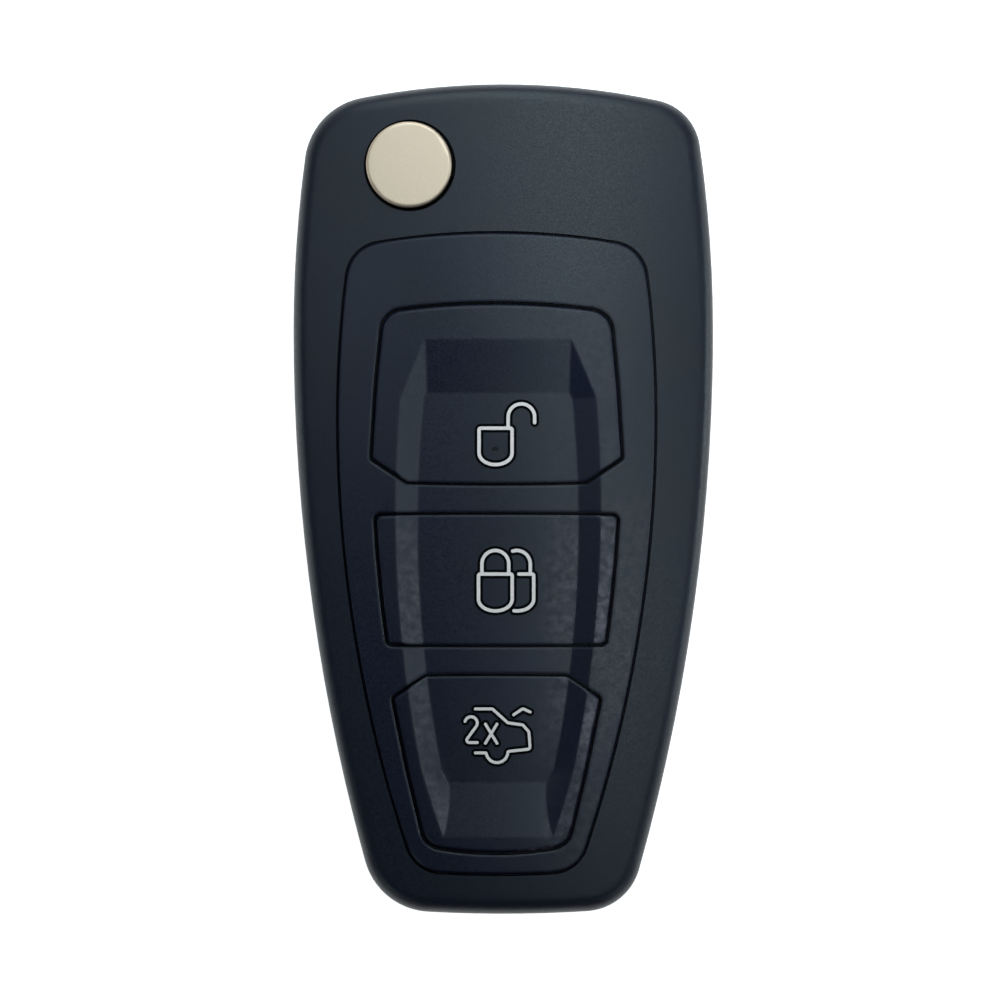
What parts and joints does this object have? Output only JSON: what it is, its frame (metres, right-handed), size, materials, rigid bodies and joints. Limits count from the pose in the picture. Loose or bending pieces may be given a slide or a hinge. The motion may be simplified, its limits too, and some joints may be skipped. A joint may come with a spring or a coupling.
{
  "type": "flip key remote shell",
  "caption": "Folding car key: a two-part moulded case with a keypad, a spring-out blade in its side, a round release button and a keyring bar.",
  "frame": {"origin": "centre of the flat back face that the key lies on", "axes": "+Z out of the keys, +Y to the end that the blade folds about, +X to the right as seen from the keys"},
  "size_m": [0.038, 0.075, 0.0159],
  "materials": {
    "case_plastic": "fine moulded grain, dark navy",
    "panel_plastic": "fine moulded grain, dark navy",
    "key_plastic": "fine moulded grain, dark navy",
    "carrier_plastic": "moulded, black",
    "tray_plastic": "moulded, black",
    "silicone": "moulded silicone",
    "board": "solder mask",
    "switch_body": "moulded",
    "switch_plunger": "moulded",
    "package": "moulded epoxy",
    "cell_steel": "nickel plated",
    "contact_metal": "stamped sheet",
    "screw_steel": "black zinc",
    "blade_steel": "nickel plated, satin",
    "spring_steel": "drawn wire",
    "button_metal": "satin warm silver"
  },
  "bodies": {
    "housing": {"front_shell": "case_plastic", "back_shell": "case_plastic", "button_panel": "panel_plastic", "keypad_mat": "silicone", "circuit_board": "board", "unlock_switch": "switch_body", "lock_switch": "switch_body", "boot_switch": "switch_body", "microcontroller": "package", "quartz_crystal": "cell_steel", "transponder_chip": "package", "board_tray": "tray_plastic", "coin_cell": "cell_steel", "positive_contact": "contact_metal", "negative_contact": "contact_metal", "case_screw": "screw_steel", "keyring_bar": "blade_steel"},
    "blade_arm": {"blade_carrier": "carrier_plastic", "key_blade": "blade_steel", "roll_pin": "spring_steel", "flip_spring": "spring_steel"},
    "release": {"release_button": "button_metal"},
    "unlock": {"unlock_key": "key_plastic", "unlock_plunger": "switch_plunger"},
    "lock": {"lock_key": "key_plastic", "lock_plunger": "switch_plunger"},
    "boot": {"boot_key": "key_plastic", "boot_plunger": "switch_plunger"}
  },
  "joints": [
    {"name": "blade_flip", "type": "hinge", "parent": "housing", "child": "blade_arm", "pos_m": [-0.00844, 0.0301, 0.0072], "axis": [0, 0, -1], "range_deg": [0, 184.5]},
    {"name": "release_press", "type": "slide", "parent": "blade_arm", "child": "release", "axis": [0, 0, -1], "range_m": [0, 0.0015], "stiffness_N_per_m": 1200, "deforming": ["flip_spring"]},
    {"name": "unlock_press", "type": "slide", "parent": "housing", "child": "unlock", "axis": [0, 0, -1], "range_m": [0, 0.0004], "stiffness_N_per_m": 2500, "deforming": ["keypad_mat"]},
    {"name": "lock_press", "type": "slide", "parent": "housing", "child": "lock", "axis": [0, 0, -1], "range_m": [0, 0.0004], "stiffness_N_per_m": 2500, "deforming": ["keypad_mat"]},
    {"name": "boot_press", "type": "slide", "parent": "housing", "child": "boot", "axis": [0, 0, -1], "range_m": [0, 0.0004], "stiffness_N_per_m": 2500, "deforming": ["keypad_mat"]}
  ]
}
